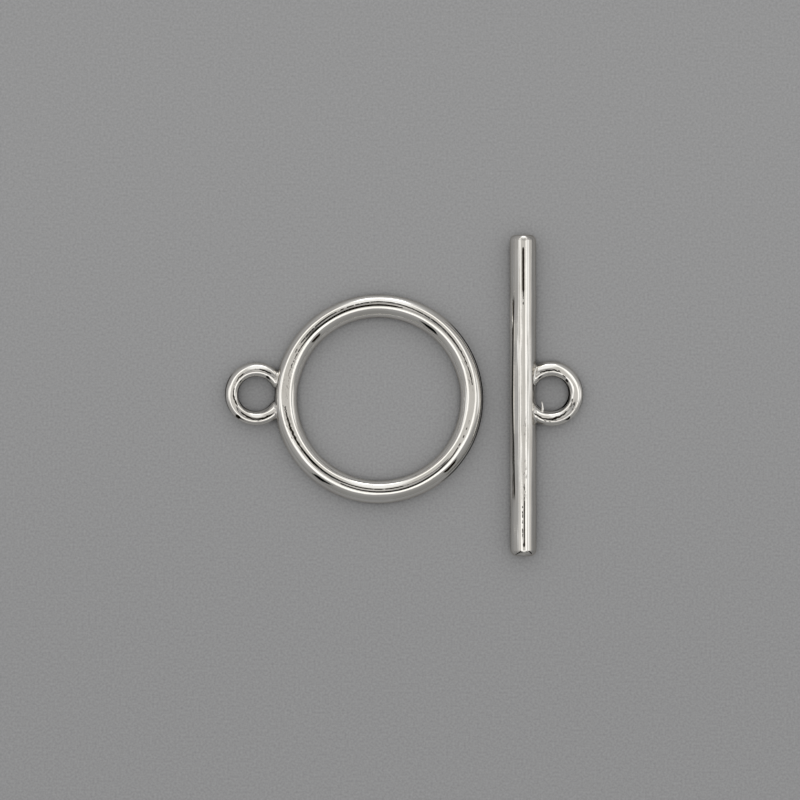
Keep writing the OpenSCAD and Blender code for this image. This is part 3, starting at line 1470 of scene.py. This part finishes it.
@dataclass
class Surround:
    """The light tent over the clasp, as seen from the floor: ovals laid one over the other."""

    side: Colour = (0.235, 0.235, 0.23)
    glow: Colour = (0.95, 0.95, 0.95)
    dim: Colour = (0.3, 0.3, 0.3)
    glow_north: float = 12.0
    glow_reach: Pair = (25.0, 95.0)
    ovals: tuple[Oval, ...] = (
        Oval(HAZE, (-10.0, 45.0), (110.0, 82.0), 0.3),
        Oval(CREAM, (20.0, 6.0), (80.0, 20.0), 0.14),
        Oval(PALE, (2.0, 100.0), (33.0, 66.0), 0.3),
        Oval(GLARE, (2.0, 79.0), (20.0, 10.0), 0.4),
        Oval(CREAM, (-1.0, 29.5), (46.0, 49.5), 0.16),
        Oval(WHITE, (-1.0, 28.5), (43.5, 45.0), 0.3, line=0.21),
        Oval(WHITE, (0.0, -13.0), (24.0, 8.0), 0.3),
        Oval(PALE, (0.0, 62.0), (24.0, 18.0), 0.3),
        Oval(HAZE, (2.0, 22.0), (18.0, 15.0), 0.1),
        Oval(CREAM, (2.0, 22.0), (9.0, 6.0), 0.4),
        Oval(DUSK, (2.0, 22.0), (18.0, 15.0), 0.55, line=0.12, power=2.3),
        Oval(PALE, (62.5, 4.0), (9.0, 13.0), 0.3),
        Oval(PALE, (-55.0, 6.0), (6.0, 13.0), 0.4),
        Oval(CREAM, (-83.0, 0.0), (7.0, 1.5), 0.6),
        Oval(HAZE, (48.5, 4.0), (2.5, 14.0), 0.4),
        Oval.between(BLACK, (-23.0, -36.5), (-44.0, -55.0), 5.3),
        Oval.between(BROWN, (30.0, -29.0), (49.5, -47.5), 4.2),
    )

    def make(self) -> bpy.types.World:
        """Builds the world.

        Returns:
            The finished world.
        """
        world = bpy.data.worlds.new("light_tent")
        world.use_nodes = True
        graph = Graph(world.node_tree)
        x, y, z = graph.split(graph.add("ShaderNodeTexCoord").outputs["Generated"])
        squares = [graph.math("MULTIPLY", part, part) for part in (x, y)]
        flat = graph.math("SQRT", graph.math("ADD", *squares))
        off_zenith = graph.math("MULTIPLY", graph.math("ARCCOSINE", z), 180.0 / math.pi)
        stretch = graph.math("DIVIDE", off_zenith, graph.math("MAXIMUM", flat, TINY))
        east = graph.math("MULTIPLY", x, stretch)
        north = graph.math("MULTIPLY", y, stretch)
        colour: object = self.side
        for oval in self.ovals:
            colour = graph.mix(self.mask(graph, oval, east, north), colour, oval.colour)

        off_north = graph.math("SUBTRACT", north, self.glow_north)
        squares = [graph.math("MULTIPLY", part, part) for part in (east, off_north)]
        off = graph.math("SQRT", graph.math("ADD", *squares))
        soft = graph.mix(graph.ramp(off, *self.glow_reach), self.glow, self.dim)
        blend = graph.add("ShaderNodeMixShader")
        graph.feed(blend.inputs[0], graph.add("ShaderNodeLightPath").outputs["Is Glossy Ray"])
        for socket, shown in zip(blend.inputs[1:], (soft, colour)):
            background = graph.add("ShaderNodeBackground")
            graph.feed(background.inputs["Color"], shown)
            graph.feed(socket, background.outputs["Background"])
        output = graph.add("ShaderNodeOutputWorld")
        graph.feed(output.inputs["Surface"], blend.outputs[0])
        return world

    def mask(self, graph: Graph, oval: Oval, east: Socket, north: Socket) -> Socket:
        """Masks an oval, or only its line.

        Args:
            graph: The world's nodes.
            oval: The oval.
            east: How far east of straight up a ray goes, in degrees.
            north: How far north.

        Returns:
            The mask.
        """
        off_east = graph.math("SUBTRACT", east, oval.middle[0])
        off_north = graph.math("SUBTRACT", north, oval.middle[1])
        cos, sin = math.cos(math.radians(oval.turn)), math.sin(math.radians(oval.turn))
        shares = ((off_east, cos), (off_north, sin), (off_north, cos), (off_east, sin))
        parts = [graph.math("MULTIPLY", off, share) for off, share in shares]
        along = graph.math("ADD", *parts[:2])
        across = graph.math("SUBTRACT", *parts[2:])
        powers = []
        for part, radius in zip((along, across), oval.radii):
            share = graph.math("ABSOLUTE", graph.math("DIVIDE", part, radius))
            powers.append(graph.math("POWER", share, oval.power))
        spread = graph.math("POWER", graph.math("ADD", *powers), 1.0 / oval.power)
        if oval.line:
            off = graph.math("ABSOLUTE", graph.math("SUBTRACT", spread, 1.0))
            return graph.ramp(off, oval.line, oval.line * oval.soft)
        return graph.ramp(spread, 1.0 + oval.soft, 1.0 - oval.soft)


@dataclass
class Studio:
    """The floor, the tent's light and the camera straight above the clasp."""

    floor_size: float = 1.6
    aim: Pair = (-0.31 * MM, -0.345 * MM)
    metal_height: float = 0.9 * MM
    camera_height: float = 300.0 * MM
    view_width: float = 61.35 * MM
    sensor: float = 36.0
    clip: Pair = (0.01, 5.0)
    surround: Surround = field(default_factory=Surround)

    def build_floor(self) -> bpy.types.Object:
        """Lays the floor.

        Returns:
            The floor.
        """
        bm = bmesh.new()
        bmesh.ops.create_grid(bm, x_segments=1, y_segments=1, size=self.floor_size / 2.0)
        mesh = bpy.data.meshes.new("floor")
        bm.to_mesh(mesh)
        bm.free()
        mesh.materials.append(PaleBoard().make())
        floor = bpy.data.objects.new("floor", mesh)
        bpy.context.scene.collection.objects.link(floor)
        return floor

    def build_camera(self) -> bpy.types.Object:
        """Hangs the camera over the clasp, looking straight down.

        Returns:
            The camera.
        """
        data = bpy.data.cameras.new("overhead")
        data.sensor_width = self.sensor
        data.lens = self.sensor * self.camera_height / self.view_width
        data.clip_start, data.clip_end = self.clip
        camera = bpy.data.objects.new("overhead", data)
        camera.location = (*self.aim, self.metal_height + self.camera_height)
        bpy.context.scene.collection.objects.link(camera)
        bpy.context.scene.camera = camera
        return camera

    def build(self) -> None:
        """Sets up the floor, the light and the camera."""
        self.build_floor()
        self.build_camera()
        scene = bpy.context.scene
        scene.world = self.surround.make()
        scene.view_settings.view_transform = "Standard"


def main() -> None:
    """Builds the clasp and its studio, and logs each piece's face count."""
    logging.basicConfig(level=logging.INFO, format="%(name)s: %(message)s")
    plate = SilverPlate().make()
    for casting in (RingCasting(), BarCasting()):
        piece = casting.build(plate)
        LOG.info("%s has %d faces", piece.name, len(piece.data.polygons))
    Studio().build()
    LOG.info("studio is set")


if __name__ == "__main__":
    main()
